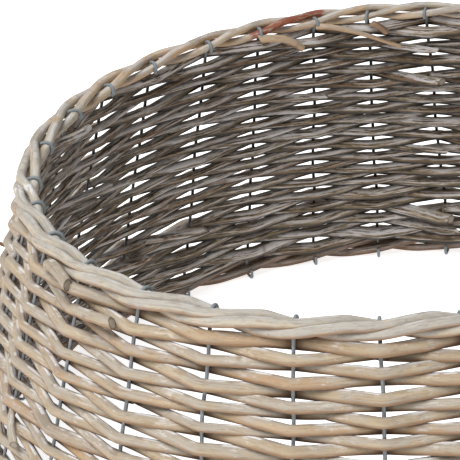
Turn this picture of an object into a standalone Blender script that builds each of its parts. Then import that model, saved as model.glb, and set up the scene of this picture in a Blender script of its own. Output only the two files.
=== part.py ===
"""Wicker collar that stands round the foot of a Christmas tree.

A cone of upright wire stakes carries the wall: willow rods woven in and out of the stakes,
round after round, between two borders of three rods twisted round the stakes. Each stake
is hooked over the inner rod of the top border and under that of the bottom border.

Metres, +Z up. The floor is Z = 0 and the cone's axis is the Z axis.
"""
import math

import bpy
from mathutils import Vector

MM = 0.001

# Overall sizes, over the borders
BASE_DIAMETER = 690 * MM
TOP_DIAMETER = 520 * MM
HEIGHT = 267 * MM

# How far each stake stands from its even place round the ring, as a share of the step between stakes
STAKE_STRAY_SHARES = (
    0.00, 0.05, -0.05, 0.00, 0.05, 0.10, 0.15, 0.25, 0.15, 0.00, -0.10, -0.20, -0.15, -0.15, -0.15, -0.05,
    0.10, -0.10, -0.10, -0.05, 0.05, 0.10, 0.15, 0.15, 0.10, 0.05, 0.00, -0.05, 0.05, -0.05, 0.00,
)

# Stakes: an odd count lets one weaver swap sides at each stake on every round
STAKES = len(STAKE_STRAY_SHARES)
WIRE_DIAMETER = 2.2 * MM

# Weavers: willow rods, thick at the butt and thin at the tip, each about this many rounds long
BUTT_DIAMETER = 7.0 * MM
TIP_DIAMETER = 6.2 * MM
ROUNDS_PER_WEAVER = 1.55
FIRST_STOP = 1
ROUND_CLEARANCE = 0.15 * MM
BUTT_LAP = 14 * MM
TIP_LAP = 2 * MM
LAP_SLACK = 0.4 * MM

# Borders: three rods each
BORDER_RODS = 3
BORDER_ROD_DIAMETER = 6 * MM

# Room between pieces that touch on the real skirt
CLEARANCE = 0.4 * MM
BORDER_END_GAP = 0.9 * MM

# Places as shares of the border rod's diameter, above or below the middle of the border
STACK_SHARE = 0.58
CROSSING_SHARE = 0.80

# Top of a border's outer rods above the middle of the inner rod, as that share too
CROWN_SHARE = 1.52

# How far a joint between weavers strays round the ring, as a share of a round
SCATTER_SHARE = 0.7
GOLDEN_SHARE = 0.618

# Bends of a stake's ends, out from and up from the border rod held, as shares of that rod's diameter
FOOT_BEND_SHARES = ((-0.92, 0.34), (-0.95, -0.62), (-0.45, -1.12), (0.42, -1.12))
HEAD_BEND_SHARES = ((0.12, 0.76), (-0.36, 1.00), (-0.94, 0.62), (-0.95, -0.50))

# Where a stake leaves its straight line, above or below the middle of a border, as that share too
BEND_START_SHARE = 0.3

WIRE_RADIUS = WIRE_DIAMETER / 2
BUTT_RADIUS = BUTT_DIAMETER / 2
TIP_RADIUS = TIP_DIAMETER / 2
BORDER_ROD_RADIUS = BORDER_ROD_DIAMETER / 2

# A border rod's middle stands this far off the stakes' line
BORDER_OFFSET = WIRE_RADIUS + CLEARANCE + BORDER_ROD_RADIUS
BORDER_STACK = STACK_SHARE * BORDER_ROD_DIAMETER
BORDER_CROSSING = CROSSING_SHARE * BORDER_ROD_DIAMETER

# A stake's square section has a round wire's area at this corner radius, and lies on a flat
SQUARE_CORNER = WIRE_RADIUS * math.sqrt(math.pi / 2)
SQUARE_HALF = SQUARE_CORNER / math.sqrt(2)
FLAT_DOWN = math.radians(45)

STAKE_STEP = 2 * math.pi / STAKES

# Levels of the border rods that the stakes hold: the feet stand on the floor, the border reaches the full height
FOOT_DEPTH = SQUARE_HALF - BORDER_ROD_DIAMETER * min(upward for _, upward in FOOT_BEND_SHARES)
CROWN_HEIGHT = CROWN_SHARE * BORDER_ROD_DIAMETER
HELD_RISE = HEIGHT - CROWN_HEIGHT - FOOT_DEPTH

# The wall's lean off upright, and where the stakes' line passes the middle of each border
LEAN = math.atan2((BASE_DIAMETER - TOP_DIAMETER) / 2, HELD_RISE)
BOTTOM_BORDER_HEIGHT = FOOT_DEPTH + BORDER_OFFSET * math.sin(LEAN)
TOP_BORDER_HEIGHT = BOTTOM_BORDER_HEIGHT + HELD_RISE
BORDER_REACH = BORDER_OFFSET * math.cos(LEAN) + BORDER_STACK * math.sin(LEAN) + BORDER_ROD_RADIUS
BASE_LINE_RADIUS = BASE_DIAMETER / 2 - BORDER_REACH


def section_point(height, outward=0.0, upward=0.0):
    """Radius and height of a point off the stakes' line, measured square to the wall and along it."""
    radius = BASE_LINE_RADIUS - (height - BOTTOM_BORDER_HEIGHT) * math.tan(LEAN)
    radius += outward * math.cos(LEAN) - upward * math.sin(LEAN)
    return radius, height + outward * math.sin(LEAN) + upward * math.cos(LEAN)


def wall_point(angle, height, outward=0.0, upward=0.0):
    """The same point, turned to its place round the axis."""
    radius, level = section_point(height, outward, upward)
    return Vector((radius * math.cos(angle), radius * math.sin(angle), level))


def stake_angle(stop):
    """Angle of a stake, counted on past the first round."""
    return STAKE_STEP * (stop + STAKE_STRAY_SHARES[stop % STAKES])


def material(name, colour, roughness, metallic=0.0):
    """One plain finish."""
    made = bpy.data.materials.new(name)
    made.use_nodes = True
    shader = made.node_tree.nodes["Principled BSDF"]
    shader.inputs["Base Color"].default_value = (*colour, 1.0)
    shader.inputs["Roughness"].default_value = roughness
    shader.inputs["Metallic"].default_value = metallic
    return made


def rod_curve(name, points, thickest, shares, resolution, finish):
    """A rod or wire through points, whose radius is a share of the thickest at each of them."""
    curve = bpy.data.curves.new(name, "CURVE")
    curve.dimensions = "3D"
    curve.twist_mode = "Z_UP"
    curve.bevel_depth = thickest
    curve.bevel_resolution = resolution
    curve.use_fill_caps = True
    spline = curve.splines.new("POLY")
    spline.points.add(len(points) - 1)
    for place, point, share in zip(spline.points, points, shares):
        place.co = (*point, 1.0)
        place.radius = share
    curve.materials.append(finish)
    return curve


def add_piece(name, data, collection):
    """One sub-part of the skirt."""
    piece = bpy.data.objects.new(name, data)
    collection.objects.link(piece)
    return piece


def bend_points(height, shares):
    """Bends of a stake's end round the inner rod of the border at this height."""
    radius, level = section_point(height, -BORDER_OFFSET)
    return [(radius + outward * BORDER_ROD_DIAMETER, level + upward * BORDER_ROD_DIAMETER)
            for outward, upward in shares]


def mitre_shares(points):
    """Widening that keeps a wire's flats full across each bend."""
    shares = [1.0]
    for before, here, after in zip(points, points[1:], points[2:]):
        shares.append(1 / math.cos((here - before).angle(after - here) / 2))
    return shares + [1.0]


def make_stakes(finish, collection):
    """Upright wires: one bent shape, turned to each place round the ring."""
    bend_start = BEND_START_SHARE * BORDER_ROD_DIAMETER
    section = bend_points(BOTTOM_BORDER_HEIGHT, FOOT_BEND_SHARES)
    section.append(section_point(BOTTOM_BORDER_HEIGHT, upward=-bend_start))
    section.append(section_point(TOP_BORDER_HEIGHT, upward=bend_start))
    section.extend(bend_points(TOP_BORDER_HEIGHT, HEAD_BEND_SHARES))
    points = [Vector((radius, 0.0, level)) for radius, level in section]
    curve = rod_curve("stake_wire", points, SQUARE_CORNER, mitre_shares(points), 0, finish)
    curve.twist_mode = "MINIMUM"
    for place in curve.splines[0].points:
        place.tilt = FLAT_DOWN
    for number in range(STAKES):
        stake = add_piece(f"stake_{number + 1:02d}", curve, collection)
        stake.rotation_euler.z = stake_angle(number)


def weave_rows():
    """Height of the lowest round, rise from one round to the next, and the count of rounds."""
    margin = BORDER_CROSSING + BORDER_ROD_RADIUS + ROUND_CLEARANCE + BUTT_RADIUS
    lowest = BOTTOM_BORDER_HEIGHT + margin * math.cos(LEAN)
    highest = TOP_BORDER_HEIGHT - margin * math.cos(LEAN)
    pitch = (BUTT_DIAMETER + ROUND_CLEARANCE) * math.cos(LEAN)
    steps = int((highest - lowest) / pitch)
    return lowest, (highest - lowest) / steps, steps + 1


def inside_stop(stop):
    """The nearest stop, not past this one, where the weaver runs inside its stake."""
    return FIRST_STOP + 2 * int((stop - FIRST_STOP) / 2)


def weaver_joints(rounds):
    """Stops where one weaver ends and the next begins, all on the inside of a stake."""
    count = round(rounds / ROUNDS_PER_WEAVER)
    joints = [FIRST_STOP]
    for number in range(1, count):
        stray = SCATTER_SHARE * ((number * GOLDEN_SHARE) % 1 - 0.5)
        stop = inside_stop((number * rounds / count + stray) * STAKES)
        beside_climb = stop % STAKES in (0, STAKES - 1)
        joints.append(stop + 2 if beside_climb else stop)
    return joints + [inside_stop(rounds * STAKES - 1)]


def weaver_points(first, last, lowest, rise):
    """Path of one weaver, a point at each stake, with its share of the butt's thickness."""
    points, shares = [], []
    for stop in range(first, last + 1):
        travelled = (stop - first) / (last - first)
        radius = BUTT_RADIUS + (TIP_RADIUS - BUTT_RADIUS) * travelled
        side = -1 if stop % 2 == FIRST_STOP % 2 else 1
        outward = side * (WIRE_RADIUS + CLEARANCE + radius)
        height = lowest + rise * (stop // STAKES)
        if stop == first and first > FIRST_STOP:
            outward -= TIP_RADIUS + CLEARANCE + radius + LAP_SLACK
        points.append(wall_point(stake_angle(stop), height, outward))
        shares.append(radius / BUTT_RADIUS)
    points.insert(0, run_on(points[0], -BUTT_LAP))
    points.append(run_on(points[-1], TIP_LAP))
    return points, [shares[0]] + shares + [shares[-1]]


def run_on(point, distance):
    """The point moved round the axis by a distance."""
    turn = distance / math.hypot(point.x, point.y)
    cosine, sine = math.cos(turn), math.sin(turn)
    return Vector((point.x * cosine - point.y * sine, point.x * sine + point.y * cosine, point.z))


def make_weavers(finish, collection):
    """The wall: rods laid end to end, level on each round and climbing to the next in one bay."""
    lowest, rise, rounds = weave_rows()
    joints = weaver_joints(rounds)
    for number, (first, last) in enumerate(zip(joints, joints[1:]), start=1):
        points, shares = weaver_points(first, last, lowest, rise)
        name = f"weaver_{number:02d}"
        add_piece(name, rod_curve(name, points, BUTT_RADIUS, shares, 0, finish), collection)


def bay_middle(stake, height):
    """Angle of the middle of the bay after a stake, and how far a straight run across it falls inside."""
    half_bay = (stake_angle(stake + 1) - stake_angle(stake)) / 2
    radius, _ = section_point(height)
    return stake_angle(stake) + half_bay, radius * (math.cos(half_bay) - 1)


def border_points(phase, height):
    """Path of one border rod: low outside a stake, high outside the next, then over and inside the third."""
    points = []
    for stake in range(STAKES + 1):
        angle = stake_angle(stake)
        middle, fall = bay_middle(stake, height)
        place = (stake + phase) % BORDER_RODS
        if place == 0:
            points.append(wall_point(angle, height, BORDER_OFFSET, -BORDER_STACK))
            continue
        outside = place == 1
        points.append(wall_point(angle, height, BORDER_OFFSET if outside else -BORDER_OFFSET,
                                 BORDER_STACK if outside else 0.0))
        if stake < STAKES:
            points.append(wall_point(middle, height, fall, BORDER_CROSSING if outside else -BORDER_CROSSING))
    return points


def make_border(name, height, finish, collection):
    """Three rods twisted round the stakes: each runs before two stakes and behind the third."""
    for phase in range(BORDER_RODS):
        points = border_points(phase, height)
        points[0] = run_on(points[0], BORDER_END_GAP)
        points[-1] = run_on(points[-1], -BORDER_END_GAP)
        rod_name = f"{name}_rod_{phase + 1}"
        curve = rod_curve(rod_name, points, BORDER_ROD_RADIUS, [1.0] * len(points), 1, finish)
        add_piece(rod_name, curve, collection)


def main():
    """Clear the scene and build the skirt."""
    for item in list(bpy.data.objects):
        bpy.data.objects.remove(item)
    skirt = bpy.data.collections.new("christmas_tree_skirt")
    bpy.context.scene.collection.children.link(skirt)

    wire = material("galvanised_wire", (0.42, 0.45, 0.47), 0.45, 0.9)
    buff = material("buff_willow", (0.55, 0.42, 0.28), 0.75)
    bleached = material("bleached_willow", (0.58, 0.49, 0.38), 0.8)

    make_stakes(wire, skirt)
    make_weavers(buff, skirt)
    make_border("top_border", TOP_BORDER_HEIGHT, bleached, skirt)
    make_border("bottom_border", BOTTOM_BORDER_HEIGHT, bleached, skirt)


main()
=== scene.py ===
"""Wicker collar for the foot of a Christmas tree: its looks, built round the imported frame.

Every rod and wire follows the frame's cone of stakes, round by round. Shapes are worked out
in millimetres and put into the meshes in metres, +Z up, with the floor at Z = 0.
"""
import math
from functools import partialmethod

import bpy
import numpy as np
from bpy.props import FloatProperty, FloatVectorProperty, PointerProperty
from mathutils import Matrix, Vector


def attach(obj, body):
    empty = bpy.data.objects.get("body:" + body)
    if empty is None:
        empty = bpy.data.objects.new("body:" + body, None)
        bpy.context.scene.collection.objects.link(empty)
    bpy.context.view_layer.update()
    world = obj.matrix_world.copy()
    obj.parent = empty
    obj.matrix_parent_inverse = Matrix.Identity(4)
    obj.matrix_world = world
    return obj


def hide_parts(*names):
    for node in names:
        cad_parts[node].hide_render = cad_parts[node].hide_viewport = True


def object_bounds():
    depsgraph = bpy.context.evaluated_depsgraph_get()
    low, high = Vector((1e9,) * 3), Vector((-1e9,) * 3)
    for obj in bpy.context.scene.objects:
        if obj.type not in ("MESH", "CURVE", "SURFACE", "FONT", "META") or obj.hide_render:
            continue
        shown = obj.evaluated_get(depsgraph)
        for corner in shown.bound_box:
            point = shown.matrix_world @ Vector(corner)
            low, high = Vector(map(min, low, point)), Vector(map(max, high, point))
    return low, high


bl_info = {
    "name": "Wicker Tree Collar",
    "version": (1, 0, 0),
    "blender": (4, 5, 0),
    "location": "View3D > Sidebar > Wicker",
    "description": "Builds a woven willow collar on wire stakes, with its finishes and a plain stage",
    "category": "Add Mesh",
}

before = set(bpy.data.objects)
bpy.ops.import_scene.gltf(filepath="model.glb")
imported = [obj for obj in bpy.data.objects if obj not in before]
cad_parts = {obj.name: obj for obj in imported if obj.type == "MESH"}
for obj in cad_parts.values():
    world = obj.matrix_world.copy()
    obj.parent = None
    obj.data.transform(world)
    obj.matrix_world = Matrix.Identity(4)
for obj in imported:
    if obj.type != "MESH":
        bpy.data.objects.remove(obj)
CAD_BOX = [list(corner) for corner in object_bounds()]

MM = 0.001
TURN = 2 * math.pi

# The frame's own sizes, in millimetres, and its shares and counts
BASE_DIAMETER = 690.0
TOP_DIAMETER = 520.0
HEIGHT = 267.0
WIRE_DIAMETER = 2.2
BUTT_DIAMETER = 7.0
BORDER_DIAMETER = 6.0
CLEARANCE = 0.4
ROUND_CLEARANCE = 0.15
BORDER_END_GAP = 0.9
STACK_SHARE = 0.58
CROSSING_SHARE = 0.80
CROWN_SHARE = 1.52
ROUNDS = 34
WEAVERS = 22
FIRST_STOP = 1
SCATTER_SHARE = 0.7
GOLDEN_SHARE = 0.618
FOOT_BEND_SHARES = ((-0.92, 0.34), (-0.95, -0.62), (-0.45, -1.12), (0.42, -1.12))
HEAD_TURNS = (62, 92, 122, 152, 182, 212, 238)
BEND_START = 0.3 * BORDER_DIAMETER

# How far each stake stands from its even place round the ring, as a share of the step
STRAY_SHARES = np.array([
    0.00, 0.05, -0.05, 0.00, 0.05, 0.10, 0.15, 0.25, 0.15, 0.00, -0.10, -0.20, -0.15, -0.15, -0.15, -0.05,
    0.10, -0.10, -0.10, -0.05, 0.05, 0.10, 0.15, 0.15, 0.10, 0.05, 0.00, -0.05, 0.05, -0.05, 0.00,
])
STAKES = len(STRAY_SHARES)
STEP = TURN / STAKES

# The cone that follows from them
WIRE_RADIUS = WIRE_DIAMETER / 2
BORDER_RADIUS = BORDER_DIAMETER / 2
BORDER_OFFSET = WIRE_RADIUS + CLEARANCE + BORDER_RADIUS
BORDER_STACK = STACK_SHARE * BORDER_DIAMETER
BORDER_CROSSING = CROSSING_SHARE * BORDER_DIAMETER
SQUARE_HALF = WIRE_RADIUS * math.sqrt(math.pi) / 2
FOOT_DEPTH = SQUARE_HALF - BORDER_DIAMETER * min(up for _, up in FOOT_BEND_SHARES)
HELD_RISE = HEIGHT - CROWN_SHARE * BORDER_DIAMETER - FOOT_DEPTH
LEAN = math.atan2((BASE_DIAMETER - TOP_DIAMETER) / 2, HELD_RISE)
BOTTOM_BORDER_HEIGHT = FOOT_DEPTH + BORDER_OFFSET * math.sin(LEAN)
TOP_BORDER_HEIGHT = BOTTOM_BORDER_HEIGHT + HELD_RISE
BORDER_REACH = BORDER_OFFSET * math.cos(LEAN) + BORDER_STACK * math.sin(LEAN) + BORDER_RADIUS
BASE_LINE_RADIUS = BASE_DIAMETER / 2 - BORDER_REACH
MARGIN = (BORDER_CROSSING + BORDER_RADIUS + ROUND_CLEARANCE + BUTT_DIAMETER / 2) * math.cos(LEAN)
LOWEST_ROUND = BOTTOM_BORDER_HEIGHT + MARGIN
ROUND_RISE = (TOP_BORDER_HEIGHT - MARGIN - LOWEST_ROUND) / (ROUNDS - 1)

# The way along a weaver from one stake to the next, at half height
BAY = STEP * 290.0

# Points round a rod and round a wire, and along a rod from stake to stake
ROD_SIDES = 16
WIRE_SIDES = 10
WALL_SAMPLES = 24
BORDER_SAMPLES = 28
END_SAMPLES = 16

# A chamfer's length in millimetres, and how slim the end is that it leaves
LIP = 0.4
CHAMFER = 0.86

# A rod's lumps reach this share of its radius
LUMPS_REACH = 1.08


def tint(red, green, blue):
    """A colour given in 0 to 255, as the linear light that a shader takes."""
    return tuple(((c / 255 + 0.055) / 1.055) ** 2.4 if c > 10 else c / 3294.6 for c in (red, green, blue))


def number(name, description, default, **kind):
    """A number from zero up that a user may change."""
    return FloatProperty(name=name, description=description, default=default, min=0.0, **kind)


def length(name, description, default):
    """A length in metres, given here in millimetres."""
    return number(name, description, default * MM, precision=5, subtype="DISTANCE", unit="LENGTH")


def share(name, description, default):
    """A share of a whole."""
    return number(name, description, default, max=1.0, subtype="FACTOR")


def power(name, description, default):
    """A lamp's power in watts."""
    return number(name, description, default, subtype="POWER", unit="POWER")


def colour(name, description, default):
    """A colour, given here in 0 to 255."""
    return FloatVectorProperty(
        name=name, description=description, default=tint(*default), min=0.0, max=1.0, subtype="COLOR")


class WickerSizes(bpy.types.PropertyGroup):
    """Thickness and unevenness of the rods and wires."""

    rod_diameter: length("Rod Diameter", "Middle thickness of a willow weaver", 6.95)
    rod_taper: share("Rod Taper", "How much thicker a weaver's butt is than its tip, as a share", 0.24)
    border_diameter: length("Top Border Rod Diameter", "Thickness of the top border's rods", 6.05)
    foot_diameter: length("Bottom Border Rod Diameter", "Thickness of the bottom border's rods", 7.0)
    wire_diameter: length("Wire Diameter", "Thickness of the stakes", 2.5)
    sag: length("Sag", "How far a rod lies lower outside a stake than midway, and higher inside", 0.9)
    wander: length("Wander", "How far a round strays up or down together with its neighbours", 1.3)
    jitter: length("Jitter", "How far one rod strays on its own at each stake", 0.5)
    lumps: share("Lumps", "Unevenness of a rod's section, as a share of its radius", 0.045)
    bend: share("Bend", "Reach of a bend to each side of a stake, as a share of the bay", 0.05)


class WickerFinishes(bpy.types.PropertyGroup):
    """Colours of the willow and the wire."""

    buff: colour("Buff", "Middle colour of the rods outside", (166, 148, 122))
    pale: colour("Pale", "Palest grain of the rods outside", (192, 178, 154))
    # Tan is the rods' own brown, and also painted shade on their undersides
    tan: colour("Tan", "Brown of the undersides", (134, 99, 70))
    amber: colour("Amber", "Warm colour of some rods", (172, 135, 96))
    grain: colour("Grain", "Dark fine grain of the rods outside", (122, 100, 78))
    crack: colour("Crack", "Cracks along the rods outside", (92, 78, 64))
    grey: colour("Grey", "Weathered patches outside", (168, 165, 160))
    # This white is whitewash and white paint, and also a painted highlight along the rods' upper edges
    wash_and_highlight: colour("White Wash", "Remains of white wash near the crossings", (222, 223, 224))
    # Inner is painted shade on the undersides of the rods inside, and the colour of their cracks
    inner: colour("Inner", "Undersides of the rods inside", (30, 23, 17))
    # Inner Middle is the bark inside on its upper side, where the painted shade is lightest
    inner_mid: colour("Inner Middle", "Weathered bark of the rods inside", (142, 122, 93))
    inner_pale: colour("Inner Pale", "Pale streaks of the rods inside", (194, 190, 189))
    cream: colour("Cream", "Middle colour of the borders", (186, 176, 158))
    straw: colour("Straw", "Warm colour of the borders at the back", (204, 164, 118))
    # This colour multiplies the bark where a stake covers it: painted shade as well as staining
    stain_and_shade: colour("Stain", "Multiplies the bark pressed to a stake", (150, 118, 92))
    rust: colour("Rust", "Patches of reddish bark on the borders", (132, 52, 8))
    end_grain: colour("End Grain", "Cut ends", (160, 150, 136))
    wire: colour("Wire", "Galvanised stakes", (184, 189, 191))
    wire_dark: colour("Dark Wire", "Dark spots of the stakes", (148, 154, 157))
    wire_pale: colour("Pale Wire", "Pale spots of the stakes", (196, 201, 203))
    # Painted shade: the colour of the stakes' side that faces the tree
    wire_inner: colour("Inner Wire", "Inner side of the stakes", (50, 52, 54))
    wire_hook: colour("Hook Wire", "Hooks of the stakes", (118, 126, 130))


class WickerStage(bpy.types.PropertyGroup):
    """Floor and light."""

    floor: colour("Floor", "Colour of the plain floor", (250, 250, 250))
    floor_shade: colour("Floor Shade", "Grain of the floor", (244, 244, 244))
    glow: number("Floor Glow", "Light that the floor gives off, as a lit table does", 0.76)
    sky: number("Sky", "Strength of the even light all round", 0.3)
    key: power("Key Light", "Power of the large lamp above on the left", 58.0)
    fill: power("Fill Light", "Power of the smaller lamp low in front", 4.0)


# Shapes


def stop_angles(stops):
    """Angle of each stake, counted on past the first round: its even step plus its own stray."""
    return STEP * (stops + STRAY_SHARES[np.mod(stops, STAKES)])


def wall_radius(heights):
    """Radius of the stakes' straight line at each height: it shrinks by the tangent of the lean."""
    return BASE_LINE_RADIUS - (heights - BOTTOM_BORDER_HEIGHT) * math.tan(LEAN)


def wall_points(angles, heights, outward=0.0, upward=0.0):
    """Points off the stakes' line, measured square to the wall and along it, turned round the axis."""
    radius = wall_radius(heights) + outward * math.cos(LEAN) - upward * math.sin(LEAN)
    level = heights + outward * math.sin(LEAN) + upward * math.cos(LEAN) + 0.0 * angles
    return np.stack([radius * np.cos(angles), radius * np.sin(angles), level], axis=-1)


def outward_vectors(line):
    """The wall's outward normal at each point of a line: away from the axis, and up by the lean."""
    flat = unit(line[:, :2]) * math.cos(LEAN)
    return np.column_stack([flat, np.full(len(line), math.sin(LEAN))])


def line_lengths(line):
    """Distance along a line at each of its points."""
    return np.concatenate([[0.0], np.cumsum(np.linalg.norm(np.diff(line, axis=0), axis=1))])


def bent_path(corners, stations, bends, samples):
    """Line through corners: straight between them, and near each one joined by a parabola.

    Within a bend w of a corner the point moves by turn * (w - distance)^2 / 4w, where turn is the
    change of slope. The corners are first moved out by as much as that takes off.
    """
    spans = np.diff(stations)[:, None]
    moved = corners.copy()
    for _ in range(4):
        turns = np.diff(np.diff(moved, axis=0) / spans, axis=0)
        moved[1:-1] = corners[1:-1] - turns * bends[1:-1, None] / 4
    turns = np.diff(np.diff(moved, axis=0) / spans, axis=0)
    line = np.stack([np.interp(samples, stations, moved[:, axis]) for axis in range(3)], axis=1)
    nearest = np.searchsorted((stations[1:] + stations[:-1]) / 2, samples)
    nearest = np.clip(nearest, 1, len(stations) - 2)
    reach = np.maximum(0.0, bends[nearest] - np.abs(samples - stations[nearest]))
    return line + turns[nearest - 1] * (reach ** 2 / (4 * bends[nearest]))[:, None]


def held_below(values, limit, room=0.6):
    """Values kept below a limit.

    Within room of the limit (over + room)^2 / 4 room is taken off, and beyond it all that is over.
    """
    over = values - limit
    near = np.clip(over + room, 0.0, 2 * room)
    return values - near ** 2 / (4 * room) - np.maximum(over - room, 0.0)


def kept_in_box(line, radii):
    """Line whose tube stays within the frame's box: each coordinate is held below both sides' limits."""
    low, high = np.array(CAD_BOX) / MM
    reach = LUMPS_REACH * radii
    for axis in range(3):
        line[:, axis] = held_below(line[:, axis] + reach, high[axis]) - reach
        line[:, axis] = reach - held_below(reach - line[:, axis], -low[axis])
    return line


def unit(vectors):
    """Vectors brought to length one."""
    return vectors / np.linalg.norm(vectors, axis=-1, keepdims=True)


def bell(values, middle, reach, power=2):
    """1 at the middle, falling as exp(-(distance / reach)^power)."""
    return np.exp(-((values - middle) / reach) ** power)


def waves(rng, along, longest, shortest, count):
    """Smooth random curve from about -1 to 1: the sum of a few sines of random length and start."""
    lengths = np.exp(rng.uniform(math.log(shortest), math.log(longest), count))
    starts = rng.uniform(0.0, TURN, count)
    sines = np.sin(TURN * along[..., None] / lengths + starts)
    return sines.sum(axis=-1) / math.sqrt(count)


class Skin:
    """Tubes gathered into one mesh, with the attributes that the finishes read.

    bark is the place on a rod in millimetres: along it, and across it both ways. tone holds three
    random numbers of the rod: how warm, how aged and how brown it is. place holds how far the surface
    faces up (negative under the rod) and the tree, and whether it is a cut end. spot holds how near a
    crossing is (negative on a side that a stake covers, which the finish darkens with painted shade and
    staining), how near a rust patch is (negative near white paint), and how near a knot is.
    """

    def __init__(self):
        self.points, self.quads, self.fans = [], [], []
        self.marks = {"bark": [], "tone": [], "place": [], "spot": []}
        self.count = 0

    def add(self, points, quads, fans, **marks):
        """One more closed surface."""
        self.points.append(points)
        self.quads.append(quads + self.count)
        self.fans.append(fans + self.count)
        for label, values in marks.items():
            self.marks[label].append(values)
        self.count += len(points)

    def mesh(self, name):
        """The mesh, in metres."""
        made = bpy.data.meshes.new(name)
        faces = [*np.concatenate(self.quads).tolist(), *np.concatenate(self.fans).tolist()]
        made.from_pydata(np.concatenate(self.points) * MM, [], faces, shade_flat=False)
        for label, parts in self.marks.items():
            layer = made.attributes.new(label, "FLOAT_VECTOR", "POINT")
            layer.data.foreach_set("vector", np.concatenate(parts).astype(np.float32).ravel())
        made.set_sharp_from_angle(angle=math.radians(50))
        return made


def bar_faces(rings, sides):
    """Faces of a closed bar: quads from ring to ring, and a fan round the middle of each end."""
    index = np.arange(rings * sides).reshape(rings, sides)
    after = np.roll(index, -1, axis=1)
    quads = np.stack([index[:-1], index[1:], after[1:], after[:-1]], axis=-1).reshape(-1, 4)
    middle = np.full(sides, rings * sides)
    fans = np.hstack([(index[0], after[0], middle), (after[-1], index[-1], middle + 1)]).T
    return quads, fans


def knotted(radius, lengths, turn, count, rng):
    """Radii with bell-shaped swellings, each highest on one side, and how near a knot each point is."""
    knot = np.zeros_like(radius)
    for _ in range(count):
        middle, facing, size = rng.uniform(0, lengths[-1]), rng.uniform(0, TURN), rng.uniform(0.3, 1.0)
        off = np.abs(np.mod(turn - facing + math.pi, TURN) - math.pi)
        swelling = size * bell(lengths, middle, 3.6)[:, None]
        radius = radius + swelling * (0.2 + 0.5 * bell(off, 0.0, 0.6))
        mark = size * bell(lengths, middle, 2.2)[:, None]
        knot = knot + mark * (0.35 + bell(off, 0.0, 0.7))
    return radius, knot


def slanted(points, lengths, tangent, radii, turn, cuts, rng):
    """Points with the last rings of each end slid along the line by slant * r(1 - cos a)."""
    for end, inwards, slant in zip((0, -1), (tangent[0], -tangent[-1]), cuts):
        if slant:
            away = np.abs(lengths - lengths[end])
            near = np.clip(1 - away / (2.2 * slant * radii[end] + 4.0), 0.0, 1.0)
            back = slant * radii[end] * near[:, None] * (1 - np.cos(turn - rng.uniform(0, TURN)))
            points = points + back[..., None] * inwards
    return points


def tube(skin, line, outward, radii, rng, crossing=0.0, rust=0.0, tone=None, lumps=0.0, knots=0,
         cuts=(0.0, 0.0), slims=((1.0, 1.0), (1.0, 1.0)), inner=1.0, held=0.0, sides=ROD_SIDES):
    """Round bar carried along a line: at each point a ring of radius r(cos a N + sin a U).

    N is the outward vector made square to the line and U = N x T. The radius is the given one, made
    slimmer towards the ends by (1 - distance / reach)^2, and uneven by waves in 2 and 3 lobes and by
    knots. Each end is a chamfered fan, cut at a slant. inner is how much the side that faces the tree
    takes its darker finish, partly weathering and partly painted shade, and held how strongly painted
    shade and staining darken that side where a stake covers it, or the other one if negative.
    """
    lengths = line_lengths(line)
    tangent = unit(np.gradient(line, lengths, axis=0))
    normal = unit(outward - (outward * tangent).sum(axis=1, keepdims=True) * tangent)
    upward = np.cross(normal, tangent)
    turn = np.arange(sides) * TURN / sides
    along = lengths[:, None] + 0.0 * turn
    for end, (slim, reach) in zip((0, -1), slims):
        near = np.clip(1 - np.abs(lengths - lengths[end]) / reach, 0.0, 1.0)
        radii = radii * (1 - (1 - slim) * near ** 2)
    start = rng.uniform(0.0, 5000.0)
    shifts = rng.uniform(0.0, TURN, 2)
    uneven = waves(rng, lengths, 160.0, 35.0, 4)[:, None] * np.cos(2 * turn + shifts[0])
    uneven += 0.7 * waves(rng, lengths, 120.0, 25.0, 4)[:, None] * np.cos(3 * turn + shifts[1])
    radius, knot = knotted(radii[:, None] * (1 + lumps * uneven), lengths, turn, knots, rng)
    radius[[0, -1]] *= CHAMFER
    across = np.cos(turn)[:, None] * normal[:, None] + np.sin(turn)[:, None] * upward[:, None]
    points = line[:, None] + radius[..., None] * across
    points = slanted(points, lengths, tangent, radii, turn, cuts, rng)
    centres = points[[0, -1]].mean(axis=1)

    bark = np.stack([along + start, radius * np.cos(turn), radius * np.sin(turn)], axis=-1).reshape(-1, 3)
    bark = np.concatenate([bark, [[start, 0, 0], [start + lengths[-1], 0, 0]]])
    facing_tree = np.clip(0.5 - 0.9 * np.cos(turn), 0.0, 1.0) * inner + 0.0 * along
    cut = np.zeros_like(along)
    cut[[0, -1]] = 0.6
    place = np.stack([np.sin(turn) + 0.0 * along, facing_tree, cut], axis=-1).reshape(-1, 3)
    place = np.concatenate([place, [[0, 0, 1.0], [0, 0, 1.0]]])
    crossed, rusty = (np.reshape(value, (-1, 1)) + 0.0 * along for value in (crossing, rust))
    crossed = crossed - np.maximum(0.0, -np.reshape(held, (-1, 1)) * np.cos(turn))
    spot = np.concatenate([np.stack([crossed, rusty, knot], axis=-1).reshape(-1, 3), np.zeros((2, 3))])
    tone = rng.uniform(0, 1, 3) if tone is None else np.asarray(tone)
    tone = np.broadcast_to(tone.reshape(-1, 1, 3), (len(line), sides, 3)).reshape(-1, 3)
    tone = np.concatenate([tone, tone[[0, -1]]])
    skin.add(np.concatenate([points.reshape(-1, 3), centres]), *bar_faces(len(line), sides),
             bark=bark, tone=tone, place=place, spot=spot)


def end_stations(first, last, per_bay, lip):
    """Even stations from first to last, with one more close inside each end for the chamfer."""
    count = max(4, int(round((last - first) * per_bay)))
    even = np.linspace(first, last, count + 1)
    return np.concatenate([[first, first + lip], even[1:-1], [last - lip, last]])


# The plan of the wall

# Joints seen in the photograph, as the round and the nearest stake that the rod passes inside
SEEN_JOINTS = ((30, 7), (14, 7), (4, 7), (8, 11), (24, 9), (18, 13), (27, 22))

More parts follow.
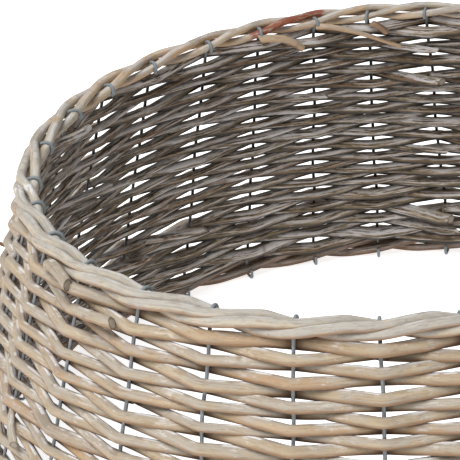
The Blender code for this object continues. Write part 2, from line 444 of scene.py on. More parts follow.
# How many rods a weaver of the frame is cut into for each round that it runs
RODS_PER_ROUND = 2.2 / 1.55

# One rod whose butt shows outside: it starts this many bays past its stop
LATE_STOP = 27 * STAKES + 22
LATE_START = 0.20

# The highest rod at the front is a warm tan one, over so many stakes to each side
TOP_ROD_STOP = 33 * STAKES + 22
TOP_ROD_REACH = 2.6
TOP_ROD_TONE = (0.95, 0.1, 0.5)

# The stake where the rods are thickest, so that they are thinnest opposite, and by what share, and the
# share by which both of these sides are thicker than the two between
THICK_STOP = 22.5
THICK_SHARE = 0.005
EVEN_SHARE = 0.095

# The lowest and the highest rounds are thicker by these shares, over so many rounds
LOW_SHARE = 0.42
LOW_ROUNDS = 7.0
HIGH_SHARE = 0.10
HIGH_ROUNDS = 2.5

# Rounds are stacked by this power of their thickness, so that thick ones lie closer together
STACK_POWER = 0.6

# The stray that neighbouring rounds share is the sum of so many waves
STRAY_WAVES = 7


def inside_stop(stop):
    """The nearest stop, not past this one, where the weaver runs inside its stake."""
    return FIRST_STOP + 2 * int((stop - FIRST_STOP) / 2)


def sides_of(stops):
    """-1 where the weave runs inside its stake, and 1 where it runs outside."""
    return np.where(stops % 2 == FIRST_STOP % 2, -1.0, 1.0)


def weaver_joints():
    """Stops where one weaver of the frame ends and the next begins."""
    joints = [FIRST_STOP]
    for number in range(1, WEAVERS):
        stray = SCATTER_SHARE * ((number * GOLDEN_SHARE) % 1 - 0.5)
        stop = inside_stop((number * ROUNDS / WEAVERS + stray) * STAKES)
        joints.append(stop + 2 if stop % STAKES in (0, STAKES - 1) else stop)
    return joints + [inside_stop(ROUNDS * STAKES - 1)]


def plan_rods(rng):
    """Each weaver's rods as (weaver, first stop, last stop), cut at inside stops only."""
    joints = weaver_joints()
    seen = {level * STAKES + stake for level, stake in SEEN_JOINTS}
    rods = []
    for weaver, (first, last) in enumerate(zip(joints, joints[1:])):
        cuts = {stop for stop in seen if first + 4 < stop < last - 8}
        rounds = (last - first) / STAKES
        wanted = rounds * RODS_PER_ROUND * rng.uniform(0.8, 1.2)
        pieces = max(len(cuts) + 1, int(round(wanted)))
        for part in range(1, pieces):
            stop = inside_stop(first + (last - first) * (part + rng.uniform(-0.25, 0.25)) / pieces)
            if min(abs(stop - other) for other in cuts | {first, last}) > 9:
                cuts.add(stop)
        marks = [first, *sorted(cuts), last]
        rods.extend((weaver, start, end) for start, end in zip(marks, marks[1:]))
    return rods


def rod_radii(rods, sizes, rng):
    """Radius of the weave at every stop: rods are laid butt to butt and tip to tip."""
    middle = sizes.rod_diameter / MM / 2
    radii = np.full(ROUNDS * STAKES + 2, middle)
    thick = middle * (1 + sizes.rod_taper / 2)
    for number, (_, first, last) in enumerate(rods):
        thin = middle * (1 - sizes.rod_taper / 2) * rng.uniform(0.9, 1.08)
        following = middle * (1 + sizes.rod_taper / 2) * rng.uniform(0.92, 1.12)
        ends = (thick, thin) if number % 2 == 0 else (thin, following)
        thick = following if number % 2 else thick
        radii[first:last + 1] = np.linspace(*ends, last - first + 1)
    stops = np.arange(len(radii))
    away = (stops - THICK_STOP) * STEP
    radii = radii * (1 + THICK_SHARE * np.cos(away) + EVEN_SHARE * np.cos(2 * away))
    low = LOW_SHARE * bell(stops / STAKES, 0.0, LOW_ROUNDS)
    high = HIGH_SHARE * bell(stops / STAKES, ROUNDS, HIGH_ROUNDS)
    return radii * (1 + low + high)


def round_heights(radii, sizes, rng):
    """Height of the weave at every stop: rounds are stacked by their thickness at each stake.

    The stack is stretched to the room between the borders, then strays by a smooth field shared by
    neighbouring rounds and by a little of each rod's own.
    """
    stack = radii[:ROUNDS * STAKES].reshape(ROUNDS, STAKES)
    steps = (stack[1:] + stack[:-1]) ** STACK_POWER
    share_up = np.concatenate([np.zeros((1, STAKES)), np.cumsum(steps, axis=0)])
    share_up /= share_up[-1]
    heights = LOWEST_ROUND + share_up * ROUND_RISE * (ROUNDS - 1)
    levels = np.arange(ROUNDS)[:, None]
    stops = np.arange(STAKES)[None, :]
    field = np.zeros((ROUNDS, STAKES))
    for _ in range(STRAY_WAVES):
        up, round_the_ring = rng.uniform(0.12, 0.5), rng.integers(1, 7)
        field += np.sin(up * levels + round_the_ring * STEP * stops + rng.uniform(0, TURN))
    room = np.minimum(1.0, np.minimum(levels, ROUNDS - 1 - levels) / 4.0)
    own = rng.normal(0.0, 1.0, (ROUNDS, STAKES))
    heights += room * field / math.sqrt(STRAY_WAVES) * sizes.wander / MM
    heights += np.minimum(1.0, room * 2 + 0.4) * own * sizes.jitter / MM
    return heights.ravel()


# The top border's rods are thicker by this share round this stake, and lie this much higher, in millimetres
BORDER_THICK_STAKE = 19.0
BORDER_THICK_SHARE = 0.2
LIFT = 0.7


def border_thickness(stops):
    """Thickness of the top border at each stake, as a share of its middle one."""
    return 1 + BORDER_THICK_SHARE * np.cos((stops - BORDER_THICK_STAKE) * STEP)


# Finishes


class Term:
    """A socket's value in a material, on which arithmetic adds Math nodes."""

    def __init__(self, finish, socket):
        self.finish, self.socket = finish, socket

    def math(self, operation, other):
        """This value and another, joined by one Math node."""
        return self.finish.node("ShaderNodeMath", {"operation": operation}, {0: self, 1: other})

    __add__ = __radd__ = partialmethod(math, "ADD")
    __mul__ = __rmul__ = partialmethod(math, "MULTIPLY")
    __sub__ = partialmethod(math, "SUBTRACT")


class Finish:
    """A procedural material in the making."""

    def __init__(self, name):
        self.material = bpy.data.materials.new(name)
        self.material.use_nodes = True
        self.tree = self.material.node_tree
        self.shader = self.tree.nodes["Principled BSDF"]

    def node(self, kind, settings=None, values=None, output=0):
        """A node of this kind with its settings, then its sockets' values or links, as one output."""
        node = self.tree.nodes.new(kind)
        for key, value in (settings or {}).items():
            setattr(node, key, value)
        for key, value in (values or {}).items():
            self.put(node.inputs[key], value)
        return Term(self, node.outputs[output])

    def put(self, socket, value):
        """A value or a link on one socket."""
        if isinstance(value, Term):
            self.tree.links.new(value.socket, socket)
        elif hasattr(value, "__len__") and socket.type == "RGBA":
            socket.default_value = (*value[:3], 1.0)
        else:
            socket.default_value = value

    def attribute(self, name):
        """A vector that the mesh holds."""
        return self.node("ShaderNodeAttribute", {"attribute_name": name}, output="Vector")

    def numbers(self, name):
        """The three numbers of a vector that the mesh holds."""
        node = self.tree.nodes.new("ShaderNodeSeparateXYZ")
        self.put(node.inputs[0], self.attribute(name))
        return [Term(self, socket) for socket in node.outputs]

    def noise(self, place, along, across, detail=2.0, roughness=0.5):
        """Smooth noise from 0 to 1 at a place, as fine along and across as these factors say."""
        factors = (along, across, across)
        place = self.node("ShaderNodeVectorMath", {"operation": "MULTIPLY"}, {0: place, 1: factors})
        values = {"Vector": place, "Scale": 1.0, "Detail": detail, "Roughness": roughness}
        return self.node("ShaderNodeTexNoise", {}, values)

    def rise(self, value, low, high):
        """From 0 at low to 1 at high, smoothly."""
        values = {"Value": value, "From Min": low, "From Max": high}
        return self.node("ShaderNodeMapRange", {"interpolation_type": "SMOOTHSTEP"}, values)

    def mix(self, factor, first, second, blend="MIX"):
        """Two colours mixed."""
        kind = {"data_type": "RGBA", "blend_type": blend}
        return self.node("ShaderNodeMix", kind, {0: factor, 6: first, 7: second}, output=2)

    def done(self, base, roughness, bump, distance, strength=0.6):
        """Base colour, roughness and relief put on the shader."""
        self.put(self.shader.inputs["Base Color"], base)
        self.put(self.shader.inputs["Roughness"], roughness)
        relief = {"Height": bump, "Distance": distance, "Strength": strength}
        self.put(self.shader.inputs["Normal"], self.node("ShaderNodeBump", {}, relief))
        return self.material


def willow(name, colours, body, warm_body, wash_and_highlight_strength, weathered, cracked, faced):
    """Barked willow: grain along the rod, grey patches, painted shade in brown on the undersides, and
    whitewash with a painted highlight along the upper edges.

    The side that faces the tree is darker, partly weathering and partly painted shade, lighter on top and
    darkest underneath as painted shade, with pale streaks. Cut ends are pale within a dark edge.
    The last four numbers are the strengths of the whitewash and painted highlight, the patches, the cracks
    and the inner side.
    """
    made = bpy.data.materials.get(name)
    if made:
        return made
    finish = Finish(name)
    mix, rise = finish.mix, finish.rise
    bark = finish.attribute("bark")
    upper, facing, cut = finish.numbers("place")
    crossing, rust, knot = finish.numbers("spot")
    warm, age, shade = finish.numbers("tone")
    broad = finish.noise(bark, 0.012, 0.1, 3.0)
    grain = finish.noise(bark, 0.02, 0.55, 4.0, 0.6)
    fine = finish.noise(bark, 0.09, 0.75, 4.0, 0.75)
    patches = finish.noise(bark, 0.06, 0.2, 4.0, 0.65)
    flakes = finish.noise(bark, 0.1, 0.4, 5.0, 0.7)
    lines = finish.noise(bark, 0.05, 0.0)
    specks = finish.noise(bark, 0.25, 0.6)
    split_grain = grain * 0.5 + fine * 0.5 - upper * 0.06

    # The bark outside
    base = mix(rise(grain, 0.36, 0.66) * 0.5, body, colours.pale)
    base = mix(rise(broad * 0.5 + warm * 0.8, 0.86, 1.2) * 0.8, base, warm_body)
    base = mix(rise(flakes - upper * 0.12, 0.5, 0.66) * 0.4, base, colours.amber)
    base = mix(rise(patches + age * 0.2 + upper * 0.12, 0.54, 0.72) * weathered, base, colours.grey)
    base = mix(rise(fine, 0.48, 0.72) * 0.65, base, colours.grain)
    # Painted shade: the undersides, which face down, are mixed towards tan
    base = mix(rise(grain * 0.7 + patches * 0.5 - upper, 0.6, 1.5) * 0.85, base, colours.tan)
    base = mix(rise(shade + grain * 0.4, 1.0, 1.6) * 0.75, base, colours.tan)
    cracks = rise(split_grain, 0.46, 0.38)
    base = mix(cracks * (rise(shade, 0.8, 1.2) * 0.4 + cracked), base, colours.crack)
    # Painted highlight, with some whitewash: a pale line along the upper edges near the crossings, and pale
    # clouds
    edge = rise(upper, 0.8, 0.9) * rise(lines + crossing * 0.16, 0.52, 0.6)
    cloud = rise(flakes + upper * 0.08 + crossing * 0.08, 0.62, 0.72) * 0.4
    base = mix((edge * 0.8 + cloud) * wash_and_highlight_strength, base, colours.wash_and_highlight)
    base = mix(rise(specks, 0.7, 0.76) * 0.5, base, colours.grain)

    # The bark that faces the tree: its own weathered colours, lighter on top and darkest underneath as
    # painted shade, with pale streaks and dark cracks
    lit = rise(upper + grain * 0.9 + shade * 0.2, 0.2, 1.15)
    inner = mix(lit, colours.inner, colours.inner_mid)
    inner = mix(rise(warm + broad * 0.5, 0.65, 1.25) * lit * 0.6, inner, colours.tan)
    streaks = rise(grain * 0.65 + fine * 0.35 + upper * 0.1 + shade * 0.06, 0.55, 0.64)
    inner = mix(streaks * 0.85, inner, colours.inner_pale)
    inner = mix(rise(split_grain, 0.47, 0.38) * 0.85, inner, colours.inner)
    # The side that faces the tree takes this darker finish, partly weathering and partly painted shade
    base = mix(rise(facing, 0.25, 0.85) * faced, base, inner)

    # Painted shade and staining where a stake covers the bark, rust, white paint, knots and cut ends
    base = mix(rise(crossing, -0.05, -0.8) * 0.7, base, colours.stain_and_shade, "MULTIPLY")
    base = mix(rise(rust + flakes * 1.8 + grain * 0.6, 1.85, 2.25) * 0.9, base, colours.rust)
    base = mix(rise(flakes * 1.8 - rust, 1.5, 1.8) * 0.8, base, colours.wash_and_highlight)
    base = mix(rise(knot + flakes * 0.5, 0.5, 1.3) * 0.6, base, colours.grain)
    base = mix(rise(cut, 0.3, 0.6) * 0.8, base, colours.crack)
    base = mix(rise(cut + fine * 0.2, 0.72, 0.84) * 0.9, base, colours.end_grain)
    relief = grain * 0.6 + fine * 0.35 + flakes * 0.3
    return finish.done(base, 0.62 + fine * 0.25, relief, 0.0004)


def galvanised(colours):
    """Zinc-coated wire: a dull blue grey with soft mottling, with painted shade where it faces the tree."""
    finish = Finish("stake_zinc")
    bark = finish.attribute("bark")
    mottle = finish.noise(bark, 0.35, 0.6, 3.0)
    fine = finish.noise(bark, 1.5, 2.0)
    base = finish.mix(finish.rise(mottle, 0.3, 0.7), colours.wire, colours.wire_dark)
    base = finish.mix(finish.rise(fine, 0.55, 0.8) * 0.4, base, colours.wire_pale)
    outer = finish.numbers("place")[0]
    between = finish.numbers("spot")[0]
    # Painted shade: the side that faces the tree is dark, between the hooks and the feet
    base = finish.mix(finish.rise(outer, 0.2, -0.3) * between, base, colours.wire_inner)
    base = finish.mix(between * -0.85 + 0.85, base, colours.wire_hook)
    return finish.done(base, 0.45 + mottle * 0.25, fine, 0.00008)


def wall_willow(colours):
    """The weavers' finish."""
    return willow("wall_bark", colours, colours.buff, colours.amber, 0.85, 0.5, 0.15, 1.0)


def border_willow(colours):
    """The borders' finish: paler and greyer."""
    return willow("border_bark", colours, colours.cream, colours.straw, 0.35, 0.7, 0.3, 0.7)


# Pieces


def make_piece(skin, name, finish, node):
    """One object of the skin, riding on the frame in place of its node."""
    piece = bpy.data.objects.new(name, skin.mesh(name))
    bpy.context.scene.collection.objects.link(piece)
    piece.data.materials.append(finish)
    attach(piece, "root")
    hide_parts(node)


class WICKER_OT_stakes(bpy.types.Operator):
    """Upright wires, hooked over the top border and under the bottom one"""

    bl_idname = "wicker.stakes"
    bl_label = "Stake Wires"

    widest_bend = 2.6

    def execute(self, context):
        sizes = context.scene.wicker_sizes
        finish = galvanised(context.scene.wicker_finishes)
        for number in range(STAKES):
            rng = np.random.default_rng(7000 + number)
            border = sizes.border_diameter / MM / 2 * border_thickness(number)
            wire = sizes.wire_diameter / MM / 2
            corners = self.section(border, wire + rng.uniform(-0.5, 0.1))
            line, window = self.bent_wire(corners)
            skin = Skin()
            placed, outward = self.placed(line, window, stop_angles(np.array([number]))[0], rng)
            radii = np.full(len(placed), wire)
            tube(skin, placed, outward, radii, rng, crossing=window[0], lumps=0.02, sides=WIRE_SIDES)
            label = f"{number + 1:02d}"
            make_piece(skin, f"stake_wire_{label}", finish, f"stake_{label}")
        return {"FINISHED"}

    @staticmethod
    def section(border, room):
        """Corners of a stake in the plane through the axis: foot, straight line, and hook round a rod."""
        turns = np.radians(HEAD_TURNS)
        head = np.stack([np.cos(turns), 0.0 * turns, np.sin(turns)], axis=-1) * (border + room)
        foot = np.array([(out, 0.0, up) for out, up in FOOT_BEND_SHARES]) * BORDER_DIAMETER
        offset = WIRE_RADIUS + CLEARANCE + border
        low = wall_points(0.0, BOTTOM_BORDER_HEIGHT, 0.0, -BEND_START)
        high = wall_points(0.0, TOP_BORDER_HEIGHT + LIFT, 0.0, BEND_START)
        foot = wall_points(0.0, BOTTOM_BORDER_HEIGHT, -BORDER_OFFSET) + foot
        head = wall_points(0.0, TOP_BORDER_HEIGHT + LIFT, -offset) + head
        return np.array([*foot, low, high, *head])

    def bent_wire(self, corners):
        """The stake's line through its corners, with how far each point is from both bends and along it."""
        stations = line_lengths(corners)
        spans = np.diff(stations)
        bends = np.full(len(corners), self.widest_bend)
        bends[1:-1] = np.minimum(self.widest_bend, 0.47 * np.minimum(spans[1:], spans[:-1]))
        foot, head = stations[len(FOOT_BEND_SHARES)], stations[-1 - len(HEAD_TURNS)]
        samples = np.concatenate([
            [0.0, 0.25], np.linspace(0.6, foot + 3, 30), np.linspace(foot + 5, head - 5, 90),
            np.linspace(head - 3, stations[-1] - 0.6, 44), [stations[-1] - 0.25, stations[-1]]])
        line = bent_path(corners, stations, bends, samples)
        line[:, 2] = -held_below(-line[:, 2], -WIRE_RADIUS - 0.25)
        return line, (np.clip(np.minimum(samples - foot, head - samples) / 25.0, 0.0, 1.0), samples)

    @staticmethod
    def placed(line, window, angle, rng):
        """The line turned to its stake, leaning sideways inside the wall and waving a little along it."""
        between, samples = window
        inside = np.maximum(0.0, wall_radius(line[:, 2]) - line[:, 0])
        top = line[:, 2] > HEIGHT / 2
        sideways = inside * np.where(top, rng.normal(0.0, 0.16), rng.normal(0.0, 0.08))
        sideways += between * 0.55 * waves(rng, samples, 220.0, 45.0, 4)
        cosine, sine = math.cos(angle), math.sin(angle)
        across, along = line[:, 0] * cosine - sideways * sine, line[:, 0] * sine + sideways * cosine
        outward = np.tile([-sine, cosine, 0.0], (len(line), 1))
        return np.stack([across, along, line[:, 2]], axis=1), outward


# Loose ends seen in the photograph: the weaver that each goes with, its radius at both ends, its three
# tones, and points along it as the stake, the height and the distance off the stakes' line in millimetres
LOOSE_ENDS = (
    (22, (4.0, 4.2), (0.4, 1.0, 0.95),
     ((18.22, 248.5, 3.0), (18.45, 253.0, 8.0), (18.73, 253.9, 10.5), (19.02, 249.6, 11.0))),
    (22, (3.3, 3.9), (0.3, 1.0, 0.9),
     ((18.95, 235.0, 2.0), (19.20, 237.3, 7.5), (19.50, 239.4, 9.0), (19.86, 240.8, 9.0))),
    (20, (1.6, 1.2), (0.7, 0.2, 0.5), ((15.60, 197.0, 0.0), (15.72, 201.0, 7.0), (15.92, 208.0, 17.0))),
    (12, (2.4, 2.9), (0.4, 0.9, 0.1), ((18.00, 147.0, 2.0), (18.14, 141.3, 7.0), (18.40, 130.5, 9.0))),
)

# Loose ends of the top border's rods, told in the same way
BORDER_ENDS = (
    (2, (2.5, 3.3), (1.1, 0.0, 0.9),
     ((9.22, 242.4, -11.5), (9.42, 252.0, -12.5), (9.68, 257.5, -11.5), (9.98, 258.0, -8.0))),
    (3, (1.5, 2.6), (1.1, 0.0, 0.9),
     ((7.66, 232.5, -9.5), (8.25, 249.0, -11.0), (8.70, 257.5, -10.0), (9.00, 258.5, -6.5))),
    (1, (2.6, 2.4), (1.1, 0.2, 2.0), ((7.86, 248.0, -10.5), (8.00, 256.0, -11.5), (8.14, 258.5, -9.0))),
)


def lay_loose_ends(skins, ends, seed):
    """Rods' ends that stand free of the wall, each put in the skin of its rod."""
    for number, (rod, thick, tone, marks) in enumerate(ends):
        stake, height, outward = np.array(marks).T
        corners = wall_points(stake * STEP, height, outward)
        stations = np.arange(len(marks), dtype=float)
        samples = end_stations(0.0, stations[-1], END_SAMPLES, 0.03)
        line = bent_path(corners, stations, np.full(len(marks), 0.48), samples)
        radii = np.interp(samples, stations[[0, -1]], thick)
        rng = np.random.default_rng(seed + number)
        tube(skins[rod - 1], line, outward_vectors(line), radii, rng, tone=tone, lumps=0.06, knots=2,
             cuts=(0.3, 0.5), inner=0.3)


class WICKER_OT_wall(bpy.types.Operator):
    """Willow rods woven in and out of the stakes, round after round"""

    bl_idname = "wicker.wall"
    bl_label = "Woven Wall"

    # How far a rod is pressed into its stake, in millimetres
    pressed = 0.05

    # How far inside the rod before it a butt lies, in radii, and how far round that rod, in radians: less
    # between the two stakes at the front
    lap_depth = 1.85
    lap_turn = 0.45
    front_lap_turn = 0.3
    front_stakes = (17, 27)

    def execute(self, context):
        sizes = context.scene.wicker_sizes
        finish = wall_willow(context.scene.wicker_finishes)
        rng = np.random.default_rng(4101)
        rods = plan_rods(rng)
        radii = rod_radii(rods, sizes, rng)
        heights = round_heights(radii, sizes, rng)
        skins = [Skin() for _ in range(WEAVERS)]
        for number, (weaver, first, last) in enumerate(rods):
            rod_rng = np.random.default_rng(500 + number)
            self.lay_rod(skins[weaver], first, last, radii, heights, sizes, rod_rng)
        lay_loose_ends(skins, LOOSE_ENDS, 3300)
        for weaver, skin in enumerate(skins):
            name = f"weaver_{weaver + 1:02d}"
            make_piece(skin, f"willow_{name}", finish, name)
        return {"FINISHED"}

    def corners(self, stops, first, last, radii, heights, sizes, rng):
        """Corners outside the stakes at even stops and inside at odd ones, the butt lapped inside."""
        held = np.clip(stops, first, last)
        radius = radii[held]
        side = sides_of(held)
        outward = side * (WIRE_RADIUS + radius - self.pressed)
        level = heights[held] - side * sizes.sag / MM
        if first > FIRST_STOP:
            in_front = self.front_stakes[0] < first % STAKES < self.front_stakes[1]
            lap = rng.uniform(-1.0, 1.0) * (self.front_lap_turn if in_front else self.lap_turn)
            outward[:2] -= self.lap_depth * radius[1] * math.cos(lap)
            level[:2] += self.lap_depth * radius[1] * math.sin(lap)
            outward[0] += rng.uniform(-0.5, 1.2)
        return wall_points(stop_angles(stops), level, outward), radius

    @staticmethod
    def reach(first, last, rng):
        """Where a rod starts and ends, in bays: a little before its first stop and past its last."""
        start = first - (rng.uniform(7.0, 15.0) if first > FIRST_STOP else 14.0) / BAY
        start = first + LATE_START if first == LATE_STOP else start
        return start, last + (LATE_START + 0.2 if last == LATE_STOP else 2.0 / BAY)

    def lay_rod(self, skin, first, last, radii, heights, sizes, rng):
        """One rod, woven through its corners with a tight bend at each stake and a slack line between."""
        stops = np.arange(first - 1, last + 2)
        corners, radius = self.corners(stops, first, last, radii, heights, sizes, rng)
        bends = np.full(len(stops), sizes.bend) * rng.uniform(0.7, 1.5, len(stops))
        samples = end_stations(*self.reach(first, last, rng), WALL_SAMPLES, LIP / BAY)
        line = bent_path(corners, stops.astype(float), bends, samples)
        along = samples * BAY
        normals = outward_vectors(line)
        slack = np.sin(math.pi * np.mod(samples, 1.0)) ** 2
        for most, way in ((0.3, np.array([0.0, 0.0, 1.0])), (0.25, normals)):
            line = line + most * (waves(rng, along, 260.0, 60.0, 4) * slack)[:, None] * way
        thickness = np.interp(samples, stops, radius) * (1 + 0.03 * waves(rng, along, 200.0, 30.0, 5))
        crossing = bell(np.mod(samples, 1.0), 0.5, 0.2)
        nearest = np.round(samples)
        # How strongly the side that a stake covers is darkened with painted shade and staining
        held = sides_of(nearest) * bell(samples, nearest, 0.13)
        tawny = bell(samples, TOP_ROD_STOP, TOP_ROD_REACH)[:, None]
        tone = rng.uniform(0, 1, 3) * (1 - tawny) + np.array(TOP_ROD_TONE) * tawny
        knots = int((last - first) * BAY / 170.0)
        slims = ((0.72, 22.0) if first > FIRST_STOP else (1.0, 1.0), (0.7, 45.0))
        tube(skin, line, normals, thickness, rng, crossing, 0.0, tone, sizes.lumps, knots,
             (rng.uniform(0.3, 1.2), 0.3), slims, held=held)


# The borders are warmer and less weathered round this stake
BACK_STAKE = 10.5

# Patches of rust and of white paint on the top border, and of brown bark on two rods of the bottom one:
# the rod's phase or the patch's strength, then its middle and reach in stakes
RUST_PHASE = 1
RUST_STAKE = 9.5
RUST_REACH = 0.85
PAINT = 0.7
PAINT_STAKE = 16.5
PAINT_REACH = 0.5
BROWN = 0.5
BROWN_STAKE = 10.6
BROWN_REACH = 0.8

# Reach of a border rod's bends, in bays
BORDER_BEND = 0.19


def border_corners(phase, height, thickness):
    """Corners of one border rod: low outside a stake, high outside the next, then over and inside a third.

    thickness is a share of the frame's at each stake, and thinner rods are twisted flatter.
    """
    rows = []
    offset = WIRE_RADIUS + CLEARANCE + BORDER_RADIUS * thickness
    twist = np.minimum(thickness, 1.0) ** 1.5
    for stake in range(STAKES + 1):
        place = (stake + phase) % 3
        here, following = stop_angles(np.array([stake, stake + 1]))
        outward = -offset[stake] if place == 2 else offset[stake]
        rows.append((here, stake, outward, (-BORDER_STACK, BORDER_STACK, 0.0)[place] * twist[stake]))
        if place and stake < STAKES:
            outward = wall_radius(height) * (math.cos((following - here) / 2) - 1)
            upward = BORDER_CROSSING if place == 1 else -BORDER_CROSSING
            rows.append(((here + following) / 2, stake + 0.5, outward, upward * twist[stake]))
    angles, stations, outward, upward = np.array(rows).T
    return wall_points(angles, height, outward, upward), stations


def border_patches(samples, phase, top):
    """Rust along a border's rod, less its white paint."""
    if not top:
        return BROWN * bell(samples, BROWN_STAKE, BROWN_REACH, 4) * (phase < 2)
    rust = np.clip(1.6 - 1.6 * (np.abs(samples - RUST_STAKE) / RUST_REACH) ** 3, 0.0, 1.0)
    return rust * (phase == RUST_PHASE) - PAINT * bell(samples, PAINT_STAKE, PAINT_REACH)


def border_tone(samples, top, rng):
    """The three tones along a border's rod: warm at the back, and weathered in front."""
    back = 0.5 + 0.5 * np.cos((samples - BACK_STAKE) * STEP)
    tone = rng.uniform(0, 0.35, 3) + np.stack([0.95 * back, 0.8 - 0.8 * back, 0.5 * back], axis=-1)
    return tone if top else tone + np.array([0.1, 0.2, 0.1])


def build_border(context, name, height, thick, seed, top):
    """Three rods twisted round the stakes.

    The top border is uneven in thickness and has loose ends. The bottom one is darkened with painted
    shade and staining on the side that faces the tree.
    """
    lumps = context.scene.wicker_sizes.lumps
    finish = border_willow(context.scene.wicker_finishes)
    thickness = border_thickness(np.arange(STAKES + 1)) if top else np.ones(STAKES + 1)
    skins = [Skin() for _ in range(3)]
    for phase, skin in enumerate(skins):
        rng = np.random.default_rng(seed + phase)
        corners, stations = border_corners(phase, height, thickness)
        bay = STEP * np.linalg.norm(corners[0, :2])
        gap = BORDER_END_GAP / bay
        samples = end_stations(gap, STAKES - gap, BORDER_SAMPLES, LIP / bay)
        line = bent_path(corners, stations, np.full(len(stations), BORDER_BEND), samples)
        along = samples * bay
        normals = outward_vectors(line)
        radii = thick / MM / 2 * (1 + 0.05 * waves(rng, along, 400.0, 40.0, 6))
        radii = radii * (border_thickness(samples) if top else 1.0)
        line[:, 2] += 0.15 * waves(rng, along, 260.0, 50.0, 4) + (LIFT if top else 0.0)
        line = kept_in_box(line, radii)
        patches, tone = border_patches(samples, phase, top), border_tone(samples, top, rng)
        # The bottom border's side that faces the tree gets the darker inner finish, and painted shade with
        # staining
        inner, held = (0.25, 0.0) if top else (0.8, 1.25)
        tube(skin, line, normals, radii, rng, 0.5, patches, tone, lumps, int(along[-1] / 200.0),
             inner=inner, held=held)
    if top:
        lay_loose_ends(skins, BORDER_ENDS, 3304)
    for number, skin in enumerate(skins, 1):
        make_piece(skin, f"willow_{name}_rod_{number}", finish, f"{name}_rod_{number}")


class WICKER_OT_top_border(bpy.types.Operator):
    """Three rods twisted round the heads of the stakes"""

    bl_idname = "wicker.top_border"
    bl_label = "Top Border"

    def execute(self, context):
        thick = context.scene.wicker_sizes.border_diameter
        build_border(context, "top_border", TOP_BORDER_HEIGHT, thick, 910, top=True)
        return {"FINISHED"}


class WICKER_OT_bottom_border(bpy.types.Operator):
    """Three rods twisted round the feet of the stakes"""

    bl_idname = "wicker.bottom_border"
    bl_label = "Bottom Border"

    def execute(self, context):
        thick = context.scene.wicker_sizes.foot_diameter
        build_border(context, "bottom_border", BOTTOM_BORDER_HEIGHT, thick, 930, top=False)
        return {"FINISHED"}


# Stage

# The camera, read off the photograph: its place in millimetres, its turns in radians and its lens
CAMERA_BACK = 1322.2
CAMERA_HEIGHT = 871.2
CAMERA_YAW = -0.088
CAMERA_PITCH = 0.4669
CAMERA_ROLL = 0.0993
CAMERA_ROUND = math.radians(1.805)
IMAGE_PIXELS = 460
FOCAL_PIXELS = 2112.0

# The floor's side in metres, and its cells along a side
FLOOR_SIDE = 12.0
FLOOR_CELLS = 24

# Each lamp's size and place, and the height over the floor that they shine at, in metres
LAMPS = {"key": (1.5, (-0.7, -0.8, 2.3)), "fill": (1.2, (-1.0, -2.2, 0.7))}
LIT_HEIGHT = 0.15


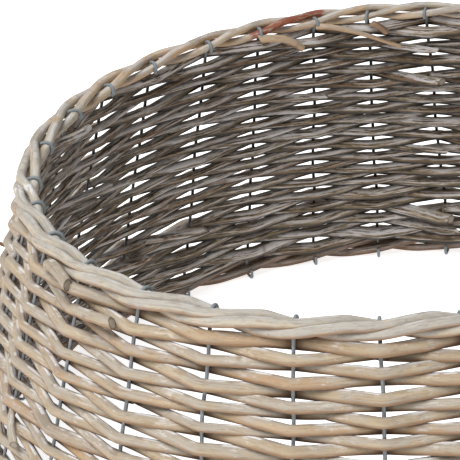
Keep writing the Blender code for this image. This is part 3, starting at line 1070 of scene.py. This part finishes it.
class WICKER_OT_stage(bpy.types.Operator):
    """Plain pale floor, soft light and the camera"""

    bl_idname = "wicker.stage"
    bl_label = "Stage"

    def execute(self, context):
        settings = context.scene.wicker_stage
        self.floor(context, settings)
        self.surroundings(context, settings)
        for name, (size, place) in LAMPS.items():
            self.lamp(context, f"{name}_light", getattr(settings, name), size, place)
        self.camera(context)
        context.scene.view_settings.view_transform = "Standard"
        return {"FINISHED"}

    @staticmethod
    def floor(context, settings):
        """Level square of grid points at the feet of the object."""
        bpy.ops.mesh.primitive_grid_add(
            x_subdivisions=FLOOR_CELLS, y_subdivisions=FLOOR_CELLS, size=FLOOR_SIDE, calc_uvs=False)
        floor = context.object
        floor.name = "floor"
        finish = Finish("floor_paper")
        grain = finish.noise(finish.node("ShaderNodeTexCoord", output="Object"), 60.0, 60.0)
        base = finish.mix(grain * 0.05, settings.floor, settings.floor_shade)
        finish.put(finish.shader.inputs["Emission Strength"], settings.glow)
        floor.data.materials.append(finish.done(base, 0.9, grain, 0.0001, 0.1))

    @staticmethod
    def surroundings(context, settings):
        """Even white light from all round."""
        world = bpy.data.worlds.new("studio")
        world.use_nodes = True
        inputs = world.node_tree.nodes["Background"].inputs
        inputs["Color"].default_value = (1.0, 1.0, 1.0, 1.0)
        inputs["Strength"].default_value = settings.sky
        context.scene.world = world

    @staticmethod
    def lamp(context, name, watts, size, place):
        """Square lamp that shines at the object."""
        bpy.ops.object.light_add(type="AREA", location=place)
        holder = context.object
        holder.name, holder.data.energy, holder.data.size = name, watts, size
        aim = Vector((0.0, 0.0, LIT_HEIGHT)) - Vector(place)
        holder.rotation_euler = aim.to_track_quat("-Z", "Y").to_euler()

    @staticmethod
    def camera(context):
        """Camera at the photograph's place, turned by its yaw, pitch and roll, and round with the stakes."""
        back = Matrix.Translation((0.0, -CAMERA_BACK * MM, CAMERA_HEIGHT * MM))
        pose = Matrix.Rotation(CAMERA_ROUND, 4, "Z") @ back
        for angle, axis in ((-CAMERA_YAW, "Z"), (math.pi / 2 - CAMERA_PITCH, "X"), (-CAMERA_ROLL, "Z")):
            pose = pose @ Matrix.Rotation(angle, 4, axis)
        bpy.ops.object.camera_add()
        camera = context.scene.camera = context.object
        camera.name, camera.matrix_world = "camera", pose
        camera.data.lens = FOCAL_PIXELS / IMAGE_PIXELS * camera.data.sensor_width


# Add-on


class WICKER_PT_collar(bpy.types.Panel):
    """Sizes, colours and the steps that build the collar"""

    bl_idname = "WICKER_PT_collar"
    bl_label = "Wicker Tree Collar"
    bl_space_type = "VIEW_3D"
    bl_region_type = "UI"
    bl_category = "Wicker"

    def draw(self, context):
        for name, kind in GROUPS.items():
            box = self.layout.box()
            for key in kind.__annotations__:
                box.prop(getattr(context.scene, name), key)
        for step in STEPS:
            self.layout.operator(step.bl_idname)


STEPS = (WICKER_OT_stakes, WICKER_OT_wall, WICKER_OT_top_border, WICKER_OT_bottom_border, WICKER_OT_stage)
GROUPS = {"wicker_sizes": WickerSizes, "wicker_finishes": WickerFinishes, "wicker_stage": WickerStage}
KINDS = (*GROUPS.values(), *STEPS, WICKER_PT_collar)


def register():
    """Make the settings, steps and panel known to Blender."""
    for kind in KINDS:
        bpy.utils.register_class(kind)
    for key, kind in GROUPS.items():
        setattr(bpy.types.Scene, key, PointerProperty(type=kind))


def unregister():
    """Take them away again."""
    for key in GROUPS:
        delattr(bpy.types.Scene, key)
    for kind in reversed(KINDS):
        bpy.utils.unregister_class(kind)


def main():
    """Build everything in order."""
    register()
    for step in STEPS:
        getattr(bpy.ops.wicker, step.bl_idname.split(".")[1])()


if __name__ == "__main__":
    main()
